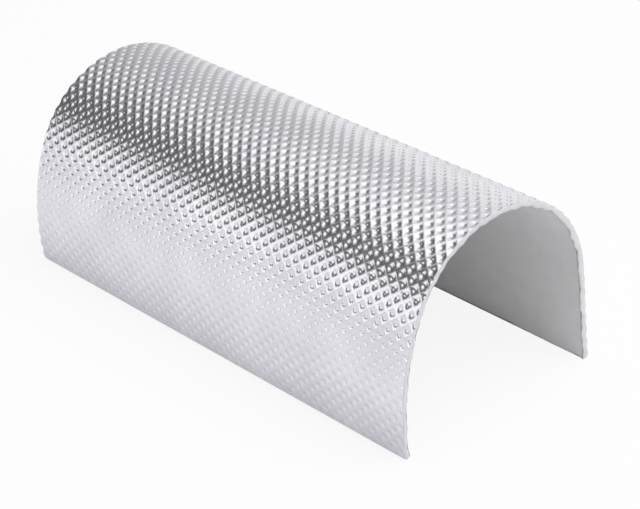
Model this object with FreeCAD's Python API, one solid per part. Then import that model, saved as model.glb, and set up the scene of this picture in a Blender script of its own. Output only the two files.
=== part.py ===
"""Embossed heat shield sheet, bent by hand into an arch that stands on its two long edges.

The sheet is a laminate of two layers: an aluminium foil facing, embossed all over with a staggered
pattern of small dimples, bonded to a plain fibre backing on the inside of the bend. The bend doesn't
stretch the sheet: both ends turn through the same angles, and straight lines join them.

Units are millimetres. The arch runs along Y with its front end at -Y, the feet stand on Z = 0 and
the origin is at the middle of the footprint.
"""
import FreeCAD, Part
import math
import os

# Sheet as cut, before it is bent
SHEET_LENGTH = 305.0
SHEET_WIDTH = 305.0

# Layers of the laminate, with the foil as thick as under a dimple and ending just above the ground
BACKING_THICKNESS = 2.1
FOIL_THICKNESS = 0.3
FOIL_SETBACK = 0.4

# Embossing: dimples in rows along the sheet, each row half a pitch along and half a pitch over
DIMPLE_PITCH = 8.5
DIMPLE_DEPTH = 0.85

# Bend, where the layers meet: crown radius at each end
FRONT_CROWN_RADIUS = 64.3
REAR_CROWN_RADIUS = 66.7

# Angle in from the vertical, going up: the left leg is bowed, and the right one is straight
LEFT_FOOT_LEAN = -10.2
LEFT_SHOULDER_LEAN = 19.9
RIGHT_LEAN = 6.1

# Two points closer than this are the same point
SAME_POINT = 1e-6

# The two corners at the ends of each cut edge, left before right and rear before front
CUT_CORNERS = {"rear": ("rear left", "rear right"), "front": ("front left", "front right"),
               "left": ("rear left", "front left"), "right": ("rear right", "front right")}

# The way that each cut edge looks
CUT_OUTWARD = {"rear": FreeCAD.Vector(0, 1, 0), "front": FreeCAD.Vector(0, -1, 0),
               "left": FreeCAD.Vector(0, 0, -1), "right": FreeCAD.Vector(0, 0, -1)}


def blend(first, last, share):
    """Value or point at a share of the way from the first to the last."""
    return first + (last - first) * share


class Section:
    """One end of the arch where the layers meet: bowed left leg, crown arc and straight right leg.

    The legs are tangent to the crown and reach the ground, and the whole line is as long as the
    sheet is wide. X is measured from the left foot. A depth is counted into the bend, so that a
    point outside the meeting line has a negative one.
    """

    def __init__(self, y, crown_radius):
        self.y = y
        self.crown_radius = crown_radius
        self.foot_lean = math.radians(LEFT_FOOT_LEAN)
        self.shoulder = math.radians(LEFT_SHOULDER_LEAN)
        self.right_lean = math.radians(RIGHT_LEAN)
        self.crown_end = math.pi - self.right_lean
        self.crown = crown_radius * (self.crown_end - self.shoulder)
        legs = SHEET_WIDTH - self.crown
        bow = self.shoulder - self.foot_lean
        left_rise = (math.sin(self.shoulder) - math.sin(self.foot_lean)) / bow
        right_rise = math.cos(self.right_lean)
        crown_rise = crown_radius * (math.sin(self.right_lean) - math.sin(self.shoulder))
        self.left_leg = (legs * right_rise - crown_rise) / (left_rise + right_rise)
        self.right_leg = legs - self.left_leg
        self.left_radius = self.left_leg / bow
        self.left_centre_x = self.left_radius * math.cos(self.foot_lean)
        self.left_centre_z = -self.left_radius * math.sin(self.foot_lean)
        inset = crown_radius - self.left_radius
        self.crown_centre_x = self.left_centre_x + inset * math.cos(self.shoulder)
        self.crown_centre_z = self.left_centre_z - inset * math.sin(self.shoulder)
        self.right_foot_x = (self.crown_centre_x + crown_radius * math.cos(self.right_lean)
                             + self.right_leg * math.sin(self.right_lean))

    def on_left_leg(self, lean, depth):
        """Point of the left leg where it leans in by an angle."""
        reach = self.left_radius - depth
        return FreeCAD.Vector(self.left_centre_x - reach * math.cos(lean), self.y,
                              self.left_centre_z + reach * math.sin(lean))

    def on_crown(self, lean, depth):
        """Point of the crown where it leans in by an angle, which goes on past the top."""
        reach = self.crown_radius - depth
        return FreeCAD.Vector(self.crown_centre_x - reach * math.cos(lean), self.y,
                              self.crown_centre_z + reach * math.sin(lean))

    def left_lean_at(self, height, depth):
        """Angle by which the left leg leans in at a height above the ground."""
        return math.asin((height - self.left_centre_z) / (self.left_radius - depth))

    def right_foot(self, height, depth):
        """Point of the right leg at a height above the ground."""
        inset = depth / math.cos(self.right_lean) + height * math.tan(self.right_lean)
        return FreeCAD.Vector(self.right_foot_x - inset, self.y, height)

    def stretch(self, name, share, height, depth):
        """Point at a share of the left leg, the crown or the right leg, with the feet at a height."""
        if name == "left leg":
            return self.on_left_leg(blend(self.left_lean_at(height, depth), self.shoulder, share), depth)
        if name == "crown":
            return self.on_crown(blend(self.shoulder, self.crown_end, share), depth)
        return blend(self.on_crown(self.crown_end, depth), self.right_foot(height, depth), share)

    def wire(self, height, depth):
        """Left leg, crown and right leg as one line, with the feet at a height above the ground."""
        left_leg, crown = (Part.Arc(*(self.stretch(name, share, height, depth) for share in (0, 0.5, 1)))
                           for name in ("left leg", "crown"))
        right_leg = Part.makeLine(self.on_crown(self.crown_end, depth), self.right_foot(height, depth))
        return Part.Wire([left_leg.toShape(), crown.toShape(), right_leg])


REAR = Section(SHEET_LENGTH / 2, REAR_CROWN_RADIUS)
FRONT = Section(-SHEET_LENGTH / 2, FRONT_CROWN_RADIUS)

# A point well inside the bend, for telling one side of the sheet from the other
INSIDE = FreeCAD.Vector((REAR.crown_centre_x + FRONT.crown_centre_x) / 2, 0,
                        (REAR.crown_centre_z + FRONT.crown_centre_z) / 4)


def turned(face, outward):
    """The face, turned over if it looks away from the outward direction at its middle."""
    u_min, u_max, v_min, v_max = face.ParameterRange
    if face.normalAt((u_min + u_max) / 2, (v_min + v_max) / 2).dot(outward) < 0:
        face.reverse()
    return face


class SmoothSide:
    """Plain side of a layer at one depth: straight lines from the rear end to the front end."""

    def __init__(self, height, depth, looks_out):
        shell = Part.makeLoft([REAR.wire(height, depth), FRONT.wire(height, depth)], False, True)
        side = 1 if looks_out else -1
        self.faces = [turned(face, (face.CenterOfMass - INSIDE) * side) for face in shell.Faces]
        left, right = self.level_edges(shell, "z", height)
        self.cuts = {"rear": self.level_edges(shell, "y", REAR.y),
                     "front": self.level_edges(shell, "y", FRONT.y),
                     "left": [left], "right": [right]}
        self.corners = {}
        for end, section in (("rear", REAR), ("front", FRONT)):
            for foot, name, share in (("left", "left leg", 0), ("right", "right leg", 1)):
                place = section.stretch(name, share, height, depth)
                self.corners[end + " " + foot] = next(
                    vertex for vertex in shell.Vertexes
                    if vertex.Point.distanceToPoint(place) < SAME_POINT)

    def level_edges(self, shell, axis, value):
        """Edges of a shell with both ends at one value of an axis, from left to right."""
        def off(vertex):
            return abs(getattr(vertex.Point, axis) - value)

        level = [edge for edge in shell.Edges if max(map(off, edge.Vertexes)) < SAME_POINT]
        return sorted(level, key=lambda edge: edge.CenterOfMass.x)


class EmbossedSide:
    """Outer side of the facing: a hollow pyramid of four facets for each dimple, with shared edges.

    Dimples and crests take turns on a square grid of half a dimple pitch, so that every second row
    of dimples is shifted by half a pitch. The sheet is cut along a row at all four edges.
    """

    def __init__(self):
        self.along = 2 * round(SHEET_LENGTH / DIMPLE_PITCH)
        self.across = 2 * round(SHEET_WIDTH / DIMPLE_PITCH)
        self.vertices = {(i, j): Part.Vertex(self.grid_point(i, j))
                         for i in range(self.along + 1) for j in range(self.across + 1)}
        self.lines = {}
        self.faces = self.facets()
        self.cuts = {"rear": self.row_across(0), "front": self.row_across(self.along),
                     "left": self.row_along(0), "right": self.row_along(self.across)}
        self.corners = {"rear left": self.vertices[0, 0],
                        "rear right": self.vertices[0, self.across],
                        "front left": self.vertices[self.along, 0],
                        "front right": self.vertices[self.along, self.across]}

    def is_dimple(self, i, j):
        """Whether a grid point is the bottom of a dimple, and not a crest between dimples."""
        return (i + j) % 2 == 0

    def grid_point(self, i, j):
        """Place of a grid point on the bent sheet."""
        station = i / self.along
        distance = SHEET_WIDTH * j / self.across
        left_leg = blend(REAR.left_leg, FRONT.left_leg, station)
        crown = blend(REAR.crown, FRONT.crown, station)
        right_leg = blend(REAR.right_leg, FRONT.right_leg, station)
        if distance < left_leg:
            name, share = "left leg", distance / left_leg
        elif distance < left_leg + crown:
            name, share = "crown", (distance - left_leg) / crown
        else:
            name, share = "right leg", (distance - left_leg - crown) / right_leg
        depth = -FOIL_THICKNESS - (0.0 if self.is_dimple(i, j) else DIMPLE_DEPTH)
        return blend(REAR.stretch(name, share, FOIL_SETBACK, depth),
                     FRONT.stretch(name, share, FOIL_SETBACK, depth), station)

    def line(self, first, last):
        """Edge between two grid points, made once and shared by the facets on both its sides."""
        key = (min(first, last), max(first, last))
        if key not in self.lines:
            self.lines[key] = Part.Edge(self.vertices[key[0]], self.vertices[key[1]])
        return self.lines[key]

    def facet(self, corners):
        """Flat triangle over three grid points, facing out of the bend."""
        wire = Part.Wire([self.line(corners[k], corners[k - 1]) for k in (1, 2, 0)])
        a, b, c = (self.vertices[corner].Point for corner in corners)
        return turned(Part.Face(wire), (b - a).cross(c - a))

    def facets(self):
        """All facets: each grid square is folded along the line between its two crests."""
        faces = []
        for i in range(self.along):
            for j in range(self.across):
                ring = [(i, j), (i, j + 1), (i + 1, j + 1), (i + 1, j)]
                if self.is_dimple(i, j):
                    ring = ring[1:] + ring[:1]
                faces.append(self.facet([ring[0], ring[1], ring[2]]))
                faces.append(self.facet([ring[0], ring[2], ring[3]]))
        return faces

    def row_along(self, j):
        """Edges of one row from the rear to the front."""
        return [self.line((i, j), (i + 1, j)) for i in range(self.along)]

    def row_across(self, i):
        """Edges of one row from the left foot to the right foot."""
        return [self.line((i, j), (i, j + 1)) for j in range(self.across)]


def layer(outer, inner):
    """Solid between two sides of a layer, closed by a flat face at each of the four cut edges."""
    links = {name: Part.Edge(inner.corners[name], outer.corners[name]) for name in inner.corners}
    cut_faces = []
    for cut, (first, last) in CUT_CORNERS.items():
        outline = inner.cuts[cut] + [links[last]] + outer.cuts[cut][::-1] + [links[first]]
        cut_faces.append(turned(Part.Face(Part.Wire(outline)), CUT_OUTWARD[cut]))
    return Part.Solid(Part.Shell(outer.faces + cut_faces + inner.faces))


def main():
    """Build both layers about the middle of the footprint and write them out."""
    embossed = EmbossedSide()
    reach_x = [vertex.X for vertex in embossed.vertices.values()]
    to_middle = FreeCAD.Vector(-(min(reach_x) + max(reach_x)) / 2, 0, 0)
    bonded = SmoothSide(FOIL_SETBACK, 0.0, looks_out=False)
    plain_outer = SmoothSide(0.0, 0.0, looks_out=True)
    plain_inner = SmoothSide(0.0, BACKING_THICKNESS, looks_out=False)
    nodes = {"embossed_facing": layer(embossed, bonded),
             "fibre_backing": layer(plain_outer, plain_inner)}
    os.makedirs("parts", exist_ok=True)
    for node, shape in nodes.items():
        shape.translate(to_middle)
        shape.exportStep("parts/" + node + ".step")


main()
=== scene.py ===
"""Dimpled heat shield sheet, bent into a standing arch and set in a plain studio.

The sheet is worked out flat first. A place on it is (s, v, lift): s runs from the rear cut to the
front cut, v from the left foot round the bend to the right foot, and lift is measured outwards from
where the foil and the fibre mat meet. The bend then carries every place to the frame, in metres.
"""

import logging
import math
from dataclasses import dataclass
from enum import Enum
from typing import Any

import bmesh
import bpy
import numpy as np
from mathutils import Matrix, Vector
from mathutils.geometry import delaunay_2d_cdt

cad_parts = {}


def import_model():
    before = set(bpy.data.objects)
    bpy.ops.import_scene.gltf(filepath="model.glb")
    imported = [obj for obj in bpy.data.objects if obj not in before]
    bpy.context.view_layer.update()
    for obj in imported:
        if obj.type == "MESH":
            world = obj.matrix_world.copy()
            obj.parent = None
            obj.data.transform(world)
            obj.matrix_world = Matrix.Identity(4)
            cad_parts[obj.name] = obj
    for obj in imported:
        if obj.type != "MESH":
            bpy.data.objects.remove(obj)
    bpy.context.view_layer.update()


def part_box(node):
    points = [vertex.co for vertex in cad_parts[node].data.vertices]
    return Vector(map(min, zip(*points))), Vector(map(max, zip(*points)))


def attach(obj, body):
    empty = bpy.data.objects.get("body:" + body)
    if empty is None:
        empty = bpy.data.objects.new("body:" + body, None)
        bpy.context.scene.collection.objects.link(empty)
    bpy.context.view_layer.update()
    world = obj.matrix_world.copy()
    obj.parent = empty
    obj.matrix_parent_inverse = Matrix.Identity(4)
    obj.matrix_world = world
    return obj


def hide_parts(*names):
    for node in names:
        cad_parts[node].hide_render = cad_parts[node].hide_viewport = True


LOG = logging.getLogger("heat_shield_sheet")
MM = 0.001
FACING_NODE = "embossed_facing"
BACKING_NODE = "fibre_backing"

# Linear red, green and blue, and alpha
Colour = tuple[float, float, float, float]
# Pairs of numbers: a position and the value there, or a sine's length and its phase
Pairs = tuple[tuple[float, float], ...]


class Slot(Enum):
    """Names of the foil's and the mat's material slots."""

    FOIL = "embossed_foil"
    MAT = "fibre_mat"


def linear(hex_colour: str) -> Colour:
    """Turn an sRGB hex colour into linear light, by sRGB's own curve: a straight foot, then a power.

    Args:
        hex_colour: Six hex digits, red first.

    Returns:
        Red, green, blue and an alpha of one.
    """
    parts = [int(hex_colour[k:k + 2], 16) / 255 for k in (0, 2, 4)]
    light = [c / 12.92 if c <= 0.04045 else ((c + 0.055) / 1.055) ** 2.4 for c in parts]
    return (light[0], light[1], light[2], 1.0)


def new_material(name: str) -> tuple[bpy.types.Material, bpy.types.NodeTree]:
    """Start a material with Blender's first nodes in its tree.

    Args:
        name: Name of the real material.

    Returns:
        The material and its node tree.
    """
    material = bpy.data.materials.new(name)
    material.use_nodes = True
    return material, material.node_tree


def add_node(tree: bpy.types.NodeTree, kind: str, values: dict[Any, Any] | None = None,
             links: dict[Any, bpy.types.NodeSocket] | None = None, **settings: Any) -> bpy.types.Node:
    """Add one node with its settings, socket values and incoming links.

    Args:
        tree: Node tree that gets the node.
        kind: Blender's type name of the node.
        values: Input socket, by name or number, to its constant value.
        links: Input socket, by name or number, to the output socket that feeds it.
        **settings: Attributes of the node itself.

    Returns:
        The new node.
    """
    node = tree.nodes.new(kind)
    for name, setting in settings.items():
        setattr(node, name, setting)
    for socket, value in (values or {}).items():
        node.inputs[socket].default_value = value
    for socket, source in (links or {}).items():
        tree.links.new(source, node.inputs[socket])
    return node


def ramp(tree: bpy.types.NodeTree, source: bpy.types.NodeSocket,
         stops: list[tuple[float, Colour]]) -> bpy.types.NodeSocket:
    """Colour ramp over a value.

    Args:
        tree: Node tree that gets the ramp.
        source: Value that runs along the ramp.
        stops: Two or more pairs of position and linear colour, in order.

    Returns:
        The ramp's colour output.
    """
    node = add_node(tree, "ShaderNodeValToRGB", links={0: source})
    elements = node.color_ramp.elements
    while len(elements) < len(stops):
        elements.new(1.0)
    for element, (position, colour) in zip(elements, stops):
        element.position = position
        element.color = colour
    return node.outputs["Color"]


def noise(tree: bpy.types.NodeTree, place: bpy.types.NodeSocket, size_mm: float, detail: float,
          curl: float = 0.0) -> bpy.types.NodeSocket:
    """Smooth noise over a place.

    Args:
        tree: Node tree that gets the noise.
        place: Coordinates, in metres.
        size_mm: Size of the largest blots, in millimetres.
        detail: Number of finer layers.
        curl: How far the noise is pulled about.

    Returns:
        The noise, from nought to one.
    """
    node = add_node(tree, "ShaderNodeTexNoise",
                    {"Scale": 1 / (size_mm * MM), "Detail": detail, "Distortion": curl}, {"Vector": place})
    return node.outputs["Fac"]


def drawn_out(tree: bpy.types.NodeTree, place: bpy.types.NodeSocket,
              stretch: float) -> bpy.types.NodeSocket:
    """Coordinates that draw a pattern out along the sheet.

    Args:
        tree: Node tree that gets the mapping.
        place: Coordinates, in metres.
        stretch: How many times longer the pattern gets along the sheet.

    Returns:
        The new coordinates.
    """
    node = add_node(tree, "ShaderNodeMapping", {"Scale": (1.0, 1 / stretch, 1.0)}, {"Vector": place})
    return node.outputs["Vector"]


@dataclass(frozen=True)
class RolledFoil:
    """Rolled aluminium foil, left bright: a mirror that the rolls and handling leave slightly hazy."""

    name: str = "rolled_aluminium_foil"
    colour_bright: str = "E6E5EA"
    colour_dull: str = "DEDDE3"
    bright_until: float = 0.35
    dull_from: float = 0.7
    roughness_low: float = 0.10
    roughness_high: float = 0.22
    smooth_until: float = 0.1
    rough_from: float = 0.45
    haze_mm: float = 24.0
    haze_detail: float = 4.0
    grain_mm: float = 0.9
    grain_detail: float = 3.0
    grain_stretch: float = 14.0
    ripple_mm: float = 2.2
    ripple_detail: float = 2.0
    ripple_height_mm: float = 0.012

    def material(self) -> bpy.types.Material:
        """Build the foil: hazy patches in the gloss, rolling lines along the sheet and faint ripple."""
        material, tree = new_material(self.name)
        shader = tree.nodes["Principled BSDF"]
        shader.inputs["Metallic"].default_value = 1.0
        place = add_node(tree, "ShaderNodeTexCoord").outputs["Object"]
        # Patches a couple of centimetres across, as handling leaves on bright foil
        haze = noise(tree, place, self.haze_mm, self.haze_detail)
        # Rolling lines are much finer than this on real foil and are drawn as coarse as they need to show
        lines = noise(tree, drawn_out(tree, place, self.grain_stretch), self.grain_mm, self.grain_detail)
        mixed = add_node(tree, "ShaderNodeMath", {}, {0: haze, 1: lines}, operation="MULTIPLY")
        rough = add_node(tree, "ShaderNodeMapRange",
                         {"From Min": self.smooth_until, "From Max": self.rough_from,
                          "To Min": self.roughness_low, "To Max": self.roughness_high},
                         {"Value": mixed.outputs["Value"]})
        colour = ramp(tree, haze, [(self.bright_until, linear(self.colour_bright)),
                                   (self.dull_from, linear(self.colour_dull))])
        ripple = noise(tree, place, self.ripple_mm, self.ripple_detail)
        bump = add_node(tree, "ShaderNodeBump", {"Strength": 1.0, "Distance": self.ripple_height_mm * MM},
                        {"Height": ripple})
        tree.links.new(colour, shader.inputs["Base Color"])
        tree.links.new(rough.outputs["Result"], shader.inputs["Roughness"])
        tree.links.new(bump.outputs["Normal"], shader.inputs["Normal"])
        return material


@dataclass(frozen=True)
class NeedledFibre:
    """Needled fibre mat: matte, near-white felt with stray fibres, and a tone of its own at the cut."""

    name: str = "needled_fibre_mat"
    cut_attribute: str = "cut_edge"
    colour_dark: str = "EAEBEA"
    colour_pale: str = "F0F0EF"
    colour_cut: str = "EBEBED"
    dark_until: float = 0.3
    pale_from: float = 0.7
    roughness: float = 0.95
    specular: float = 0.2
    sheen: float = 0.2
    tuft_mm: float = 9.0
    tuft_detail: float = 5.0
    fibre_mm: float = 0.7
    fibre_detail: float = 4.0
    fibre_curl: float = 1.2
    fibre_stretch: float = 5.0
    fibre_height_mm: float = 0.08
    fibre_strength: float = 0.6

    def material(self) -> bpy.types.Material:
        """Build the mat: cloudy tufts, a fine tangle of fibres in the bump and the tone of the cut edge."""
        material, tree = new_material(self.name)
        shader = tree.nodes["Principled BSDF"]
        shader.inputs["Roughness"].default_value = self.roughness
        shader.inputs["Specular IOR Level"].default_value = self.specular
        shader.inputs["Sheen Weight"].default_value = self.sheen
        place = add_node(tree, "ShaderNodeTexCoord").outputs["Object"]
        tufts = noise(tree, place, self.tuft_mm, self.tuft_detail)
        # Single fibres are under 0.02 mm; bundles of them are drawn, as coarse as they need to show
        fibres = noise(tree, drawn_out(tree, place, self.fibre_stretch), self.fibre_mm, self.fibre_detail,
                       self.fibre_curl)
        felt = ramp(tree, tufts, [(self.dark_until, linear(self.colour_dark)),
                                  (self.pale_from, linear(self.colour_pale))])
        cut = add_node(tree, "ShaderNodeAttribute", attribute_name=self.cut_attribute)
        # The mix node's inputs 0, 6 and 7 are the share and two colours, and its output 2 is their mix
        colour = add_node(tree, "ShaderNodeMix", {7: linear(self.colour_cut)},
                          {0: cut.outputs["Fac"], 6: felt}, data_type="RGBA")
        bump = add_node(tree, "ShaderNodeBump",
                        {"Strength": self.fibre_strength, "Distance": self.fibre_height_mm * MM},
                        {"Height": fibres})
        tree.links.new(colour.outputs[2], shader.inputs["Base Color"])
        tree.links.new(bump.outputs["Normal"], shader.inputs["Normal"])
        return material


@dataclass(frozen=True)
class Bend:
    """Bend of the sheet: a bowed left leg, the crown's arc and a straight right leg.

    Both ends turn through the same angles and differ only in the crown's radius, so straight lines
    along the sheet join them. All sizes are in metres and radians.
    """

    left_foot_x: float
    length: float = 305 * MM
    width: float = 305 * MM
    front_radius: float = 64.3 * MM
    rear_radius: float = 66.7 * MM
    foot_lean: float = math.radians(-10.2)
    shoulder_lean: float = math.radians(19.9)
    right_lean: float = math.radians(6.1)

    @property
    def bow(self) -> float:
        """Angle that the left leg turns through from foot to shoulder."""
        return self.shoulder_lean - self.foot_lean

    @property
    def turn(self) -> float:
        """Angle that the crown turns through."""
        return math.pi - self.right_lean - self.shoulder_lean

    def stretches(self, radius: float) -> tuple[float, float, float]:
        """Lengths of the left leg, crown and right leg, shared so that both feet reach the ground.

        Args:
            radius: Crown radius of one end.

        Returns:
            The three lengths, which add up to the width of the sheet.
        """
        legs = self.width - radius * self.turn
        left_rise = (math.sin(self.shoulder_lean) - math.sin(self.foot_lean)) / self.bow
        right_rise = math.cos(self.right_lean)
        crown_rise = radius * (math.sin(self.right_lean) - math.sin(self.shoulder_lean))
        left = (legs * right_rise - crown_rise) / (left_rise + right_rise)
        return left, radius * self.turn, legs - left

    def shares(self, s: np.ndarray, v: np.ndarray) -> tuple[np.ndarray, np.ndarray, np.ndarray]:
        """Shares of the left leg, crown and right leg that lie before each place on the sheet.

        Args:
            s: Distance from the rear cut.
            v: Distance from the left foot, round the bend.

        Returns:
            The three shares of each place, from nought to one.
        """
        front = s / self.length
        ends = zip(self.stretches(self.rear_radius), self.stretches(self.front_radius))
        left, crown, right = (a + (b - a) * front for a, b in ends)
        return (np.minimum(v / left, 1.0), np.clip((v - left) / crown, 0.0, 1.0),
                np.maximum((v - left - crown) / right, 0.0))

    def lean(self, s: np.ndarray, v: np.ndarray) -> np.ndarray:
        """Angle in from the vertical: the left leg's bow and then the crown's turn.

        Args:
            s: Distance from the rear cut.
            v: Distance from the left foot, round the bend.

        Returns:
            The angle at each place, which goes on past the top of the crown.
        """
        on_left, on_crown, _ = self.shares(s, v)
        return self.foot_lean + self.bow * on_left + self.turn * on_crown

    def section(self, radius: float, on_left: np.ndarray, on_crown: np.ndarray,
                on_right: np.ndarray) -> tuple[np.ndarray, np.ndarray]:
        """Places along one end: the left arc, then the crown's arc, then the straight right leg.

        Args:
            radius: Crown radius of the end.
            on_left: Share of the left leg that lies before each place.
            on_crown: Share of the crown that lies before it.
            on_right: Share of the right leg that lies before it.

        Returns:
            Distance to the right of the left foot, and height.
        """
        left, _, right = self.stretches(radius)
        left_radius = left / self.bow
        leg = self.foot_lean + self.bow * on_left
        arc = self.shoulder_lean + self.turn * on_crown
        x = (left_radius * (math.cos(self.foot_lean) - np.cos(leg))
             + radius * (math.cos(self.shoulder_lean) - np.cos(arc))
             + right * on_right * math.sin(self.right_lean))
        z = (left_radius * (np.sin(leg) - math.sin(self.foot_lean))
             + radius * (np.sin(arc) - math.sin(self.shoulder_lean))
             - right * on_right * math.cos(self.right_lean))
        return x, z

    def place(self, s: np.ndarray, v: np.ndarray, lift: np.ndarray) -> np.ndarray:
        """Carry flat places to the bent sheet: blend the two ends' sections and step out by the lift.

        Args:
            s: Distance from the rear cut.
            v: Distance from the left foot, round the bend.
            lift: Distance outwards from where foil and mat meet.

        Returns:
            One row of x, y and z for each place.
        """
        shares = self.shares(s, v)
        rear_x, rear_z = self.section(self.rear_radius, *shares)
        front_x, front_z = self.section(self.front_radius, *shares)
        front = s / self.length
        lean = self.lean(s, v)
        x = self.left_foot_x + rear_x + (front_x - rear_x) * front - lift * np.cos(lean)
        z = rear_z + (front_z - rear_z) * front + lift * np.sin(lean)
        return np.stack([x, self.length / 2 - s, z], axis=-1)

    def normals(self, s: np.ndarray, v: np.ndarray, slope: np.ndarray) -> np.ndarray:
        """Outward normals of a side: the bend's own, less the lift's slopes along and across the sheet.

        Args:
            s: Distance from the rear cut.
            v: Distance from the left foot, round the bend.
            slope: One row of the lift's slopes along s and v for each place.

        Returns:
            One row of x, y and z for each place, of length one.
        """
        lean = self.lean(s, v)
        none = np.zeros_like(lean)
        outward = np.stack([-np.cos(lean), none, np.sin(lean)], axis=-1)
        along = np.stack([none, none - 1.0, none], axis=-1)
        across = np.stack([np.sin(lean), none, np.cos(lean)], axis=-1)
        normal = outward - slope[:, :1] * along - slope[:, 1:] * across
        return normal / np.linalg.norm(normal, axis=1, keepdims=True)


def sines(distance: np.ndarray, parts: Pairs) -> np.ndarray:
    """Sum of sines along a distance.

    Args:
        distance: Distance of each place.
        parts: For each sine, the length in which it turns by one radian, and its phase.

    Returns:
        The sum at each place.
    """
    return sum(np.sin(distance / length + phase) for length, phase in parts)


@dataclass(frozen=True)
class CutShape:
    """How the hand-cut outline departs from a true rectangle: eased corners and slightly wavy cuts."""

    length: float
    width: float
    corner: float = 0.35 * MM
    corner_reach: float = 4.5 * MM
    wave: float = 0.35 * MM
    wave_reach: float = 6.0 * MM
    long_wave: float = 9.1 * MM
    short_wave: float = 3.7 * MM
    front_phase: float = 2.0

    def move(self, s: np.ndarray, v: np.ndarray) -> tuple[np.ndarray, np.ndarray]:
        """Draw places near the outline inwards: corners by a falling exponential, cuts by two sines.

        Args:
            s: Distance from the rear cut.
            v: Distance from the left foot.

        Returns:
            The moved s and v.
        """
        from_s = np.minimum(s, self.length - s)
        from_v = np.minimum(v, self.width - v)
        inward_s = np.where(s < self.length / 2, 1.0, -1.0)
        inward_v = np.where(v < self.width / 2, 1.0, -1.0)
        eased = self.corner * np.exp(-(from_s + from_v) / self.corner_reach)
        phase = np.where(s < self.length / 2, 0.0, self.front_phase)
        waves = np.sin(v / self.long_wave + phase) + np.sin(v / self.short_wave + 2.0 * phase)
        # The two sines add up to between -2 and 2, so the cut moves by nought to one wave
        wavy = self.wave * (0.5 + 0.25 * waves) * np.exp(-from_s / self.wave_reach)
        return s + inward_s * (eased + wavy), v + inward_v * eased


@dataclass(frozen=True)
class Embossing:
    """Embossed pattern: round flat-bottomed dimples on a square pattern, with soft pillows between them.

    With a and b counted in steps from dimple to dimple, w = (2 + cos(2 pi a) + cos(2 pi b)) / 4 is one
    at a dimple and nought on a pillow. The hollow below the pillows is pillow_depth times w, plus
    wall_depth times a smooth step of w from wall_foot to wall_top, which makes the dimple's round wall.
    """

    pitch: float = 7.94 * MM
    pillow_depth: float = 0.68 * MM
    wall_depth: float = 0.17 * MM
    wall_foot: float = 0.64
    wall_top: float = 0.92
    turn: float = math.radians(2.2)
    ring_radii: tuple[float, ...] = (0.8 * MM, 1.22 * MM, 1.7 * MM)
    spokes: int = 8
    spare_cells: int = 2
    same_place: float = 0.002 * MM

    @property
    def depth(self) -> float:
        """Full depth of a dimple."""
        return self.pillow_depth + self.wall_depth

    def steps(self) -> np.ndarray:
        """Steps in (s, v) from a dimple to its two nearest neighbours, half a pitch along and over.

        Returns:
            One row of s and v for each of the two steps.
        """
        along = self.pitch * np.array([math.cos(self.turn), -math.sin(self.turn)])
        over = self.pitch * np.array([-math.sin(self.turn), -math.cos(self.turn)])
        return np.array([along + over, along - over]) / 2

    def hollow(self, flat: np.ndarray) -> tuple[np.ndarray, np.ndarray]:
        """Depth below the pillows and its slopes along s and v.

        Args:
            flat: One row of s and v for each place.

        Returns:
            The depth at each place, and a row of its two slopes.
        """
        to_steps = np.linalg.inv(self.steps())
        angle = 2 * math.pi * (flat @ to_steps)
        share = (2 + np.cos(angle).sum(axis=1)) / 4
        wall = self.wall_top - self.wall_foot
        up_wall = np.clip((share - self.wall_foot) / wall, 0.0, 1.0)
        depth = self.pillow_depth * share + self.wall_depth * up_wall ** 2 * (3 - 2 * up_wall)
        steepness = self.pillow_depth + self.wall_depth * 6 * up_wall * (1 - up_wall) / wall
        slope = -steepness[:, None] * math.pi / 2 * np.sin(angle) @ to_steps.T
        return depth, slope

    def cell(self) -> tuple[np.ndarray, np.ndarray, np.ndarray]:
        """Mesh of one dimple: a middle, rings of spokes about it, and the square cell round them.

        Returns:
            Places in (s, v), triangles and quads.
        """
        steps = self.steps()
        reach = np.linalg.norm(steps[0])
        angle = np.arange(self.spokes) * 2 * math.pi / self.spokes
        round_about = np.stack([np.cos(angle), np.sin(angle)], axis=-1) @ (steps / reach)
        to_side = reach / 2 / np.maximum(np.abs(np.cos(angle)), np.abs(np.sin(angle)))
        rings = [radius * round_about for radius in self.ring_radii] + [to_side[:, None] * round_about]
        places = np.concatenate([np.zeros((1, 2))] + rings)
        spoke = np.arange(self.spokes)
        after = (spoke + 1) % self.spokes
        fan = np.stack([0 * spoke, 1 + spoke, 1 + after], axis=-1)
        starts = 1 + self.spokes * np.arange(len(rings) - 1)[:, None]
        strips = np.stack([starts + spoke, starts + self.spokes + spoke, starts + self.spokes + after,
                           starts + after], axis=-1).reshape(-1, 4)
        return places, fan, strips

    def tiles(self, length: float, width: float) -> tuple[np.ndarray, np.ndarray, np.ndarray]:
        """Mesh of all the cells that cover a rectangle, with shared points along their sides.

        Args:
            length: Extent along s.
            width: Extent along v.

        Returns:
            Places in (s, v), triangles and quads.
        """
        reach = int((length + width) / self.pitch) + self.spare_cells
        count = np.arange(-reach, reach + 1)
        middles = np.stack(np.meshgrid(count, count), axis=-1).reshape(-1, 2) @ self.steps()
        inside = ((middles > -self.pitch) & (middles < np.array([length, width]) + self.pitch)).all(axis=1)
        middles = middles[inside]
        places, fan, strips = self.cell()
        every = (middles[:, None, :] + places[None, :, :]).reshape(-1, 2)
        _, first, shared = np.unique(np.round(every / self.same_place), axis=0, return_index=True,
                                     return_inverse=True)
        shared = shared.reshape(-1)
        offset = len(places) * np.arange(len(middles))[:, None, None]
        return every[first], shared[(fan + offset).reshape(-1, 3)], shared[(strips + offset).reshape(-1, 4)]


def add_object(name: str, data: bpy.types.ID) -> bpy.types.Object:
    """Link a new object into the scene, at the origin.

    Args:
        name: Name of the object.
        data: Its mesh, lamp or camera.

    Returns:
        The object.
    """
    thing = bpy.data.objects.new(name, data)
    bpy.context.scene.collection.objects.link(thing)
    return thing


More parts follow.
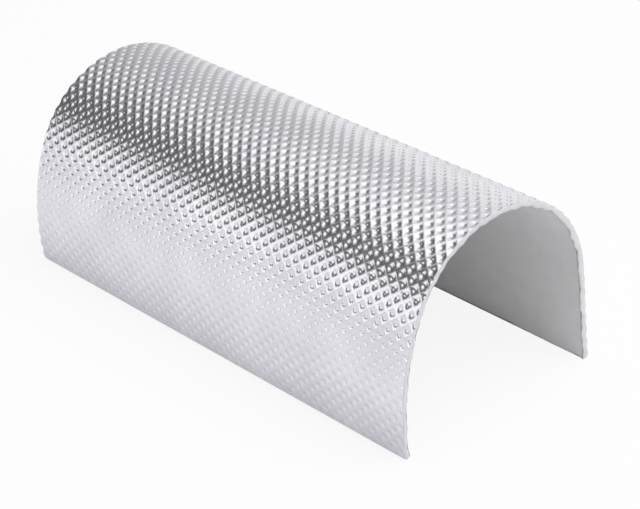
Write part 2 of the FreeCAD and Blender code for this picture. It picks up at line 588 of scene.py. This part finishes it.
def smooth_mesh(name: str, points: np.ndarray, faces: list[list[int]]) -> bpy.types.Mesh:
    """Mesh with smooth shading.

    Args:
        name: Name of the mesh.
        points: One row of x, y and z for each point.
        faces: Corner points of each face.

    Returns:
        The mesh.
    """
    mesh = bpy.data.meshes.new(name)
    mesh.from_pydata(points.tolist(), [], faces)
    mesh.polygons.foreach_set("use_smooth", np.ones(len(mesh.polygons), dtype=bool))
    return mesh


def set_values(mesh: bpy.types.Mesh, name: str, values: np.ndarray) -> None:
    """Give each point of a mesh a number that a material can read.

    Args:
        mesh: Mesh that gets the numbers.
        name: Name of the attribute.
        values: One number for each point.
    """
    mesh.attributes.new(name, "FLOAT", "POINT").data.foreach_set("value", values.astype(np.float32))


def grid_quads(number: np.ndarray) -> np.ndarray:
    """Quads of a grid.

    Args:
        number: Number of the point at each row and column.

    Returns:
        Four points for each quad.
    """
    return np.stack([number[:-1, :-1], number[1:, :-1], number[1:, 1:], number[:-1, 1:]],
                    axis=-1).reshape(-1, 4)


def read_ints(items: bpy.types.bpy_prop_collection, name: str) -> np.ndarray:
    """One whole-number property of a mesh's loops or polygons.

    Args:
        items: Loops or polygons of a mesh.
        name: Name of the property.

    Returns:
        One number for each item.
    """
    values = np.zeros(len(items), dtype=np.int32)
    items.foreach_get(name, values)
    return values


def read_vectors(items: bpy.types.bpy_prop_collection, name: str) -> np.ndarray:
    """One vector property of a mesh's points or polygons.

    Args:
        items: Points or polygons of a mesh.
        name: Name of the property.

    Returns:
        One row of x, y and z for each item.
    """
    values = np.zeros(len(items) * 3, dtype=np.float32)
    items.foreach_get(name, values)
    return values.reshape(-1, 3)


def open_sides(mesh: bpy.types.Mesh) -> tuple[np.ndarray, np.ndarray]:
    """Sides that only one face has.

    Args:
        mesh: Mesh with an open outline.

    Returns:
        First and last point of each side, in the direction of its face.
    """
    corner = read_ints(mesh.loops, "vertex_index")
    edge_of = read_ints(mesh.loops, "edge_index")
    start = read_ints(mesh.polygons, "loop_start")
    total = read_ints(mesh.polygons, "loop_total")
    follower = np.arange(len(corner)) + 1
    follower[start + total - 1] = start
    is_open = np.bincount(edge_of)[edge_of] == 1
    return corner[is_open], corner[follower[is_open]]


def cut_flat(places: np.ndarray, faces: list[list[int]], low: np.ndarray, high: np.ndarray,
             on_line: float) -> bpy.types.Mesh:
    """Cut a flat mesh to a rectangle along its four sides.

    Args:
        places: One row of s and v for each point.
        faces: Corner points of each face.
        low: Smallest s and v to keep.
        high: Largest s and v to keep.
        on_line: Distance within which a point counts as on the line of a cut.

    Returns:
        A mesh with s and v in place of x and y.
    """
    mesh = bpy.data.meshes.new("flat_sheet")
    mesh.from_pydata(np.pad(places, ((0, 0), (0, 1))).tolist(), [], faces)
    work = bmesh.new()
    work.from_mesh(mesh)
    for corner, sign in ((low, -1.0), (high, 1.0)):
        for axis in range(2):
            outward = Vector([sign if k == axis else 0.0 for k in range(3)])
            bmesh.ops.bisect_plane(work, geom=work.verts[:] + work.edges[:] + work.faces[:], dist=on_line,
                                   plane_co=(*corner, 0.0), plane_no=outward, clear_outer=True)
    work.to_mesh(mesh)
    work.free()
    return mesh


@dataclass
class Facing:
    """The embossed foil: dimpled outer side, a thin cut rim and a plain underside on the mat."""

    bend: Bend
    cut: CutShape
    embossing: Embossing
    finish: RolledFoil
    thickness: float = 0.3 * MM
    left_setback: float = 0.62 * MM
    right_setback: float = 0.42 * MM
    pressed_depth: float = 0.5 * MM
    press_reach: float = 1.2 * MM
    tuck: float = 0.3 * MM
    snap: float = 0.001 * MM
    on_line: float = 1e-8
    same_point: float = 1e-9
    under_rows: int = 18
    under_columns: int = 100

    @property
    def crest(self) -> float:
        """Lift of the foil between the dimples."""
        return self.thickness + self.embossing.depth

    def top_lift(self, flat: np.ndarray) -> tuple[np.ndarray, np.ndarray]:
        """Lift of the outer side and its slopes along s and v.

        The lift is the crest less the hollow. Along the two feet the shear has pressed the pattern flat,
        so the hollow goes over to an even pressed_depth there, by a falling exponential.

        Args:
            flat: One row of s and v for each place.

        Returns:
            The lift at each place, and a row of its two slopes.
        """
        depth, slope = self.embossing.hollow(flat)
        from_left = flat[:, 1] - self.left_setback
        from_right = self.bend.width - self.right_setback - flat[:, 1]
        pressed = np.exp(-np.maximum(np.minimum(from_left, from_right), 0.0) / self.press_reach)
        depth = depth + (self.pressed_depth - depth) * pressed
        return self.crest - depth, -slope * (1.0 - pressed[:, None])

    def underside(self, edge: np.ndarray, pairs: np.ndarray) -> tuple[np.ndarray, np.ndarray]:
        """Triangulate the side that lies on the mat from the rim's points and a coarse grid.

        Args:
            edge: One row of s and v for each point of the rim.
            pairs: Neighbouring points of the rim, as two numbers each.

        Returns:
            Places of the grid's points, and triangles over rim points first and grid points after.
        """
        low, high = edge.min(axis=0) + self.tuck, edge.max(axis=0) - self.tuck
        rows = np.linspace(low[0], high[0], self.under_rows)
        columns = np.linspace(low[1], high[1], self.under_columns)
        grid = np.stack(np.meshgrid(rows, columns, indexing="ij"), axis=-1).reshape(-1, 2)
        points = [Vector(place) for place in np.concatenate([edge, grid]).tolist()]
        # The 1 asks for the triangles inside the rim, and True for the point that each corner came from
        found = delaunay_2d_cdt(points, pairs.tolist(), [], 1, self.same_point, True)
        source = np.array([ids[0] for ids in found[3]])
        return grid, source[np.array(found[2])]

    def build(self) -> bpy.types.Object:
        """Make the foil as one closed piece with the true normals of its dimples.

        Returns:
            The dressed object.
        """
        bend = self.bend
        places, fans, strips = self.embossing.tiles(bend.length, bend.width)
        low = np.array([0.0, self.left_setback])
        high = np.array([bend.length, bend.width - self.right_setback])
        flat_mesh = cut_flat(places, fans.tolist() + strips.tolist(), low, high, self.on_line)
        top = read_vectors(flat_mesh.vertices, "co")[:, :2].astype(float)
        # The cut leaves rounding errors, and the underside needs its outline on true straight lines
        top = np.where(np.abs(top - low) < self.snap, low, top)
        top = np.where(np.abs(top - high) < self.snap, high, top)
        count = len(top)
        top_faces = [list(face.vertices) for face in flat_mesh.polygons]
        first, last = open_sides(flat_mesh)
        bpy.data.meshes.remove(flat_mesh)
        rim = np.unique(first)
        low_of = np.zeros(count, dtype=int)
        low_of[rim] = np.arange(len(rim))
        grid, under = self.underside(top[rim], np.stack([low_of[first], low_of[last]], axis=-1))
        walls = np.stack([last, first, count + low_of[first], count + low_of[last]], axis=-1)
        flat = np.concatenate([top, top[rim], grid])
        lift_top, slope = self.top_lift(top)
        lift = np.concatenate([lift_top, lift_top[rim] - self.thickness, np.zeros(len(grid))])
        s, v = self.cut.move(flat[:, 0], flat[:, 1])
        faces = top_faces + walls.tolist() + (count + under[:, ::-1]).tolist()
        mesh = smooth_mesh("dimpled_foil", bend.place(s, v, lift), faces)
        self.set_normals(mesh, bend.normals(s[:count], v[:count], slope), len(top_faces))
        mesh.materials.append(self.finish.material())
        return add_object("dimpled_foil", mesh)

    def set_normals(self, mesh: bpy.types.Mesh, top_normals: np.ndarray, top_faces: int) -> None:
        """Give the outer side its true normals, and leave the rim and underside flat.

        Args:
            mesh: Mesh with the outer side's faces first.
            top_normals: Normal of each point of the outer side.
            top_faces: Number of faces of the outer side.
        """
        corner = read_ints(mesh.loops, "vertex_index")
        total = read_ints(mesh.polygons, "loop_total")
        normals = np.repeat(read_vectors(mesh.polygons, "normal"), total, axis=0)
        top_loops = total[:top_faces].sum()
        normals[:top_loops] = top_normals[corner[:top_loops]]
        mesh.normals_split_custom_set(normals.tolist())


@dataclass(frozen=True)
class Creases:
    """Soft creases of the mat's inner side: waves across the sheet, and short slanted ones at the bend."""

    height: float = 0.22 * MM
    fine_share: float = 0.45
    fine_wave: float = 5.3 * MM
    fine_sway: float = 1.3
    fine_sway_wave: float = 41 * MM
    broad_share: float = 0.55
    broad_wave: float = 13.7 * MM
    broad_phase: float = 1.0
    broad_sway: float = 0.9
    broad_sway_wave: float = 67 * MM
    patch_waves: tuple[float, float] = (29 * MM, 37 * MM)
    patch_phase: float = 0.7
    bend_s: float = 285 * MM
    bend_v: float = 215 * MM
    bend_reach_s: float = 45 * MM
    bend_reach_v: float = 24 * MM
    slant: float = 0.35
    slant_wave: float = 1.6 * MM

    def lift(self, s: np.ndarray, v: np.ndarray) -> np.ndarray:
        """Lift of the creases: fine waves in patches, broad waves, and a bell of slanted ones at the bend.

        Args:
            s: Distance from the rear cut.
            v: Distance from the left foot.

        Returns:
            The lift at each place.
        """
        fine = np.sin(v / self.fine_wave + self.fine_sway * np.sin(s / self.fine_sway_wave))
        broad = np.sin(v / self.broad_wave + self.broad_sway * np.sin(s / self.broad_sway_wave)
                       + self.broad_phase)
        patch = np.sin(s / self.patch_waves[0] + self.patch_phase) * np.sin(v / self.patch_waves[1])
        near_bend = np.exp(-((v - self.bend_v) / self.bend_reach_v) ** 2
                           - ((s - self.bend_s) / self.bend_reach_s) ** 2)
        slanted = near_bend * np.sin((v + self.slant * s) / self.slant_wave)
        return self.height * (self.fine_share * fine * (0.5 + 0.5 * patch) + self.broad_share * broad
                              + slanted)


@dataclass(frozen=True)
class FrayedRim:
    """How the blade leaves the mat's rim: unevenly deep on the inner side, and swollen at the two ends."""

    notch: float = 1.0 * MM
    notch_mean: float = 0.4
    notch_swing: float = 0.3
    notch_sines: Pairs = ((0.9 * MM, 0.0), (1.5 * MM, 1.0), (3.7 * MM, 0.0))
    fray: float = 1.0 * MM
    fray_reach: float = 1.5 * MM
    fray_mean: float = 0.45
    fray_swing: float = 0.4
    fray_sines: Pairs = ((1.3 * MM, 0.0), (3.3 * MM, 2.0))

    def notches(self, along: np.ndarray) -> np.ndarray:
        """Uneven depth of the cut on the inner side, from three sines along the outline.

        Args:
            along: Distance along the outline.

        Returns:
            How far the inner side stops short at each place.
        """
        waves = sines(along, self.notch_sines)
        return self.notch * np.clip(self.notch_mean + self.notch_swing * waves, 0.0, 1.0)

    def swelling(self, from_end: np.ndarray, v: np.ndarray) -> np.ndarray:
        """Extra thickness where the two ends fray: two sines along the cut, gone a little way in.

        Args:
            from_end: Distance from the nearer end cut.
            v: Distance from the left foot.

        Returns:
            The extra thickness at each place.
        """
        uneven = np.clip(self.fray_mean + self.fray_swing * sines(v, self.fray_sines), 0.0, 1.0)
        return self.fray * uneven * np.exp(-from_end / self.fray_reach)


@dataclass
class Backing:
    """The fibre mat: plain bonded side, a soft hand-bent inner side and a rounded, torn-looking cut rim."""

    bend: Bend
    cut: CutShape
    facing: Facing
    finish: NeedledFibre
    creases: Creases = Creases()
    frayed: FrayedRim = FrayedRim()
    thickness: float = 2.1 * MM
    clearance: float = 0.05 * MM
    tuck: float = 0.3 * MM
    rows: int = 150
    rim_rows: int = 5
    round_off: float = 0.35 * MM

    def lines(self, extent: float) -> np.ndarray:
        """Grid lines across an extent, evenly spread, with one close to each edge.

        Args:
            extent: Length or width of the sheet.

        Returns:
            Places of the lines, from nought to the extent.
        """
        inner = np.linspace(0.0, extent, self.rows)[1:-1]
        return np.concatenate([[0.0, self.tuck], inner, [extent - self.tuck, extent]])

    def lifts(self, s: np.ndarray, v: np.ndarray) -> tuple[np.ndarray, np.ndarray]:
        """Lifts of both sides. At the end cuts the outer side follows the foil's dimples from below.

        Args:
            s: Distance from the rear cut.
            v: Distance from the left foot.

        Returns:
            Lift of the outer side and of the inner side at each place.
        """
        length, width = self.bend.length, self.bend.width
        on_cut = ((s == 0.0) | (s == length)) & (v > self.tuck) & (v < width - self.tuck)
        foil_under = self.facing.top_lift(np.stack([s, v], axis=-1))[0] - self.facing.thickness
        swelling = self.frayed.swelling(np.minimum(s, length - s), v)
        return (np.where(on_cut, foil_under, -self.clearance),
                self.creases.lift(s, v) - swelling - self.thickness)

    def build(self) -> bpy.types.Object:
        """Make the mat as one closed piece: two grids over the sheet and rows of quads round the rim.

        Going down the rim, the inset grows with the cube of the share of the way for the notches, and
        with the fourth power of the distance from the middle for the rounding of both its edges.

        Returns:
            The dressed object.
        """
        bend = self.bend
        s_lines, v_lines = self.lines(bend.length), self.lines(bend.width)
        s, v = (axis.ravel() for axis in np.meshgrid(s_lines, v_lines, indexing="ij"))
        number = np.arange(s.size).reshape(len(s_lines), len(v_lines))
        around = np.concatenate([number[:-1, 0], number[-1, :-1], number[:0:-1, -1], number[0, :0:-1]])
        outer_lift, inner_lift = self.lifts(s, v)
        inset = np.zeros(s.size)
        inset[around] = self.frayed.notches((s + v)[around])
        to_s = np.where(s == 0.0, 1.0, np.where(s == bend.length, -1.0, 0.0))
        to_v = np.where(v == 0.0, 1.0, np.where(v == bend.width, -1.0, 0.0))
        share = (np.arange(self.rim_rows) + 1.0)[:, None] / (self.rim_rows + 1)
        rim_lift = outer_lift[around] + (inner_lift - outer_lift)[around] * share
        rim_inset = inset[around] * share ** 3 + self.round_off * (2 * share - 1) ** 4
        rim_s = s[around] + to_s[around] * rim_inset
        rim_v = v[around] + to_v[around] * rim_inset
        all_s = np.concatenate([s, rim_s.ravel(), s + to_s * (inset + self.round_off)])
        all_v = np.concatenate([v, rim_v.ravel(), v + to_v * (inset + self.round_off)])
        lift = np.concatenate([outer_lift, rim_lift.ravel(), inner_lift])
        inner_start = s.size + rim_lift.size
        ring = np.concatenate([around[None], s.size + np.arange(rim_lift.size).reshape(rim_lift.shape),
                               inner_start + around[None]])
        follow = np.roll(ring, -1, axis=1)
        quads = grid_quads(number)
        walls = np.stack([follow[:-1], ring[:-1], ring[1:], follow[1:]], axis=-1).reshape(-1, 4)
        points = bend.place(*self.cut.move(all_s, all_v), lift)
        # The soles are flat on the ground
        points[:, 2] = np.maximum(points[:, 2], 0.0)
        faces = np.concatenate([quads, walls, inner_start + quads[:, ::-1]])
        mesh = smooth_mesh("fibre_mat", points, faces.tolist())
        on_rim = np.zeros(len(points))
        on_rim[ring.ravel()] = 1.0
        set_values(mesh, self.finish.cut_attribute, on_rim)
        mesh.materials.append(self.finish.material())
        return add_object("fibre_mat", mesh)


@dataclass(frozen=True)
class Lamp:
    """Soft rectangular lamp that looks at the object, with its place and sides in metres."""

    name: str
    place: tuple[float, float, float]
    sides: tuple[float, float]
    watts: float
    mirrored: bool = True

    def hang(self) -> None:
        """Hang the lamp in the scene, where the foil shows it only if it is mirrored."""
        data = bpy.data.lights.new(self.name, "AREA")
        data.shape = "RECTANGLE"
        data.size, data.size_y = self.sides
        data.energy = self.watts
        lamp = add_object(self.name, data)
        lamp.visible_glossy = self.mirrored
        lamp.location = self.place
        lamp.rotation_euler = (-Vector(self.place)).to_track_quat("-Z", "Y").to_euler()


def between(value: np.ndarray, stops: Pairs) -> np.ndarray:
    """Straight lines between stops, level beyond the first and the last.

    Args:
        value: Where to look along the stops.
        stops: Pairs of a position and the value there, in order of position.

    Returns:
        The value found for each.
    """
    return np.interp(value, *zip(*stops))


@dataclass(frozen=True)
class Studio:
    """Plain studio: a pale floor, a white surround, soft lamps and a glowing graded card, seen only in
    reflections, which paints the dark bands and the white window that the foil reflects.

    The floor's white share in reflections goes by the metres to the left or right of the object's
    middle: painted shade on the floor close beside the object and painted light a little further out.
    The card's stops go by degrees: turns from straight back towards the left, and rises above the floor.
    """

    floor_size: float = 8.0
    floor_colour: str = "F0EFF3"
    floor_roughness: float = 0.9
    floor_glow: float = 0.88
    # Painted shade in the floor's reflected glow close beside the object and painted light further out, by
    # metres from its middle
    floor_painted_shading_mirrored: Pairs = ((0.076, 0.34), (0.19, 0.78), (0.4, 0.3))
    surround_light: float = 0.30
    lamps: tuple[Lamp, ...] = (
        Lamp("overhead_softbox", (0.6, -0.9, 2.6), (3.4, 3.4), 84.0, mirrored=False),
        Lamp("high_left_softbox", (-0.5, 0.4, 2.4), (2.0, 2.0), 3.5),
        Lamp("low_left_window", (-2.0, 0.93, 0.46), (1.6, 0.6), 0.7))
    card_radius: float = 2.6
    card_top: float = 62.0
    card_columns: int = 181
    card_rows: int = 63
    card_attribute: str = "card_shade"
    card_dark: float = 0.14
    # The card's glow paints the foil's reflections: a white window low at the left, and dark bands round it
    window_turn: Pairs = ((26, 0.0), (38, 1.0), (84, 1.0), (96, 0.0))
    window_rise: Pairs = ((21, 1.0), (31, 0.0))
    dark_right: Pairs = ((-150, 0.0), (-120, 0.8), (-95, 0.8), (-65, 0.0), (-50, 0.0), (-45, 0.32),
                         (-40, 0.44), (-31, 0.52), (-20, 0.62), (5, 1.0))
    dark_left: Pairs = ((140, 1.0), (170, 0.0))
    dark_rise: Pairs = ((36, 1.0), (42, 0.8), (48, 0.4), (54, 0.0))
    lens: float = 112.69
    sensor: float = 36.0
    aim: tuple[float, float, float] = (38.13 * MM, 27.03 * MM, 7.5 * MM)
    distance: float = 1175 * MM
    azimuth: float = math.radians(41.9088)
    elevation: float = math.radians(28.3412)
    roll: float = math.radians(-1.9759)

    def seen_directly(self, tree: bpy.types.NodeTree, by_camera: float,
                      mirrored: bpy.types.NodeSocket | None = None) -> bpy.types.NodeSocket:
        """A value for what the camera sees, another for reflections, and nought for light on things.

        Args:
            tree: Node tree that gets the nodes.
            by_camera: Value for camera rays.
            mirrored: Value for glossy and transmission rays, which is one if it isn't given.

        Returns:
            The socket with the value.
        """
        path = add_node(tree, "ShaderNodeLightPath").outputs
        bounced = add_node(tree, "ShaderNodeMath", {},
                           {0: path["Is Glossy Ray"], 1: path["Is Transmission Ray"]}, operation="MAXIMUM")
        factors = {0: bounced.outputs[0]}
        if mirrored is not None:
            factors[1] = mirrored
        reflected = add_node(tree, "ShaderNodeMath", {1: 1.0}, factors, operation="MULTIPLY")
        seen = add_node(tree, "ShaderNodeMath", {1: by_camera},
                        {0: path["Is Camera Ray"], 2: reflected.outputs[0]}, operation="MULTIPLY_ADD")
        return seen.outputs[0]

    def floor(self) -> None:
        """Lay the pale floor, mostly white by itself to the camera, so that shadows stay light."""
        half = self.floor_size / 2
        mesh = bpy.data.meshes.new("studio_floor")
        mesh.from_pydata([(-half, -half, 0), (half, -half, 0), (half, half, 0), (-half, half, 0)], [],
                         [(0, 1, 2, 3)])
        floor = add_object("studio_floor", mesh)
        material, tree = new_material("painted_studio_floor")
        shader = tree.nodes["Principled BSDF"]
        shader.inputs["Base Color"].default_value = linear(self.floor_colour)
        shader.inputs["Roughness"].default_value = self.floor_roughness
        shader.inputs["Specular IOR Level"].default_value = 0.0
        glow = add_node(tree, "ShaderNodeEmission")
        place = add_node(tree, "ShaderNodeTexCoord").outputs["Object"]
        sideways = add_node(tree, "ShaderNodeSeparateXYZ", {}, {0: place})
        distance = add_node(tree, "ShaderNodeMath", {}, {0: sideways.outputs["X"]}, operation="ABSOLUTE")
        # Glow seen in reflections, graded by distance from the object: painted shade beside it, painted
        # light a little further out
        graded = ramp(tree, distance.outputs[0],
                      [(metres, (white, white, white, 1.0)) for metres, white in self.floor_painted_shading_mirrored])
        share = self.seen_directly(tree, self.floor_glow, graded)
        mixed = add_node(tree, "ShaderNodeMixShader", {},
                         {0: share, 1: shader.outputs[0], 2: glow.outputs[0]})
        tree.links.new(mixed.outputs[0], tree.nodes["Material Output"].inputs["Surface"])
        mesh.materials.append(material)

    def surround(self) -> None:
        """Light the scene softly from all round, and show white to the camera and in reflections."""
        world = bpy.data.worlds.new("white_surround")
        bpy.context.scene.world = world
        world.use_nodes = True
        tree = world.node_tree
        strength = add_node(tree, "ShaderNodeMapRange", {"To Min": self.surround_light, "To Max": 1.0},
                            {"Value": self.seen_directly(tree, 1.0)})
        background = tree.nodes["Background"]
        background.inputs["Color"].default_value = (1.0, 1.0, 1.0, 1.0)
        tree.links.new(strength.outputs["Result"], background.inputs["Strength"])

    def card_shade(self, turn: np.ndarray, rise: np.ndarray) -> np.ndarray:
        """Glow of the card, painted reflections for the foil: dark bands that fade upwards, with a low
        white window at the left.

        Args:
            turn: Degrees from straight back, towards the left.
            rise: Degrees above the floor.

        Returns:
            Brightness of each place, where one is white.
        """
        window = between(turn, self.window_turn) * between(rise, self.window_rise)
        right = between(turn, self.dark_right)
        left = between(turn, self.dark_left)
        up = between(rise, self.dark_rise)
        return 1.0 - (1.0 - self.card_dark) * (1.0 - window) * right * left * up

    def graded_card(self) -> None:
        """Bend a glowing graded card all round, from the floor up, which only reflections show: painted
        reflections of dark bands and a white window.
        """
        turn, rise = np.meshgrid(np.linspace(-180, 180, self.card_columns),
                                 np.linspace(0, self.card_top, self.card_rows), indexing="ij")
        around = np.radians(turn)
        up = np.tan(np.radians(rise))
        points = self.card_radius * np.stack([-np.sin(around), np.cos(around), up], axis=-1)
        quads = grid_quads(np.arange(turn.size).reshape(turn.shape))
        mesh = bpy.data.meshes.new("graded_card")
        mesh.from_pydata(points.reshape(-1, 3).tolist(), [], quads.tolist())
        set_values(mesh, self.card_attribute, self.card_shade(turn, rise).ravel())
        card = add_object("graded_card", mesh)
        material, tree = new_material("glowing_reflection_card")
        tree.nodes.remove(tree.nodes["Principled BSDF"])
        shades = add_node(tree, "ShaderNodeAttribute", attribute_name=self.card_attribute)
        # The card glows by itself and is no lamp: painted reflections of dark bands and a white window
        glow = add_node(tree, "ShaderNodeEmission", {}, {"Color": shades.outputs["Color"]})
        tree.links.new(glow.outputs[0], tree.nodes["Material Output"].inputs["Surface"])
        mesh.materials.append(material)
        card.visible_camera = False
        card.visible_shadow = False
        card.visible_diffuse = False

    def camera(self) -> None:
        """Set the camera where the picture was taken from, with its slight roll."""
        level = math.cos(self.elevation)
        forward = Vector((math.sin(self.azimuth) * level, math.cos(self.azimuth) * level,
                          -math.sin(self.elevation)))
        flat_right = forward.cross(Vector((0, 0, 1))).normalized()
        flat_up = flat_right.cross(forward)
        right = flat_right * math.cos(self.roll) + flat_up * math.sin(self.roll)
        up = flat_up * math.cos(self.roll) - flat_right * math.sin(self.roll)
        data = bpy.data.cameras.new("photo_camera")
        data.lens = self.lens
        data.sensor_width = self.sensor
        camera = add_object("photo_camera", data)
        turn = Matrix((right, up, -forward)).transposed().to_4x4()
        camera.matrix_world = Matrix.Translation(Vector(self.aim) - forward * self.distance) @ turn
        bpy.context.scene.camera = camera

    def build(self) -> None:
        """Set up the whole studio."""
        bpy.context.scene.view_settings.view_transform = "Standard"
        self.floor()
        self.surround()
        for lamp in self.lamps:
            lamp.hang()
        self.graded_card()
        self.camera()


def main() -> None:
    """Dress the frame: foil over the facing, mat over the backing, and the studio round them."""
    logging.basicConfig(level=logging.INFO, format="%(name)s: %(message)s")
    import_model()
    sizes = Bend(left_foot_x=0.0)
    # The left leg bows out past its foot by this much, so the foot stands that far inside the mat's box
    widest_bow = sizes.stretches(sizes.front_radius)[0] / sizes.bow * (1 - math.cos(sizes.foot_lean))
    bend = Bend(left_foot_x=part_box(BACKING_NODE)[0].x + widest_bow)
    cut = CutShape(bend.length, bend.width)
    facing = Facing(bend, cut, Embossing(), RolledFoil())
    backing = Backing(bend, cut, facing, NeedledFibre())
    for piece, node, slot in ((facing.build(), FACING_NODE, Slot.FOIL),
                              (backing.build(), BACKING_NODE, Slot.MAT)):
        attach(piece, "root")
        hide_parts(node)
        mesh = piece.data
        LOG.info("%s: %d points, %d faces", piece.name, len(mesh.vertices), len(mesh.polygons))
    Studio().build()


if __name__ == "__main__":
    main()
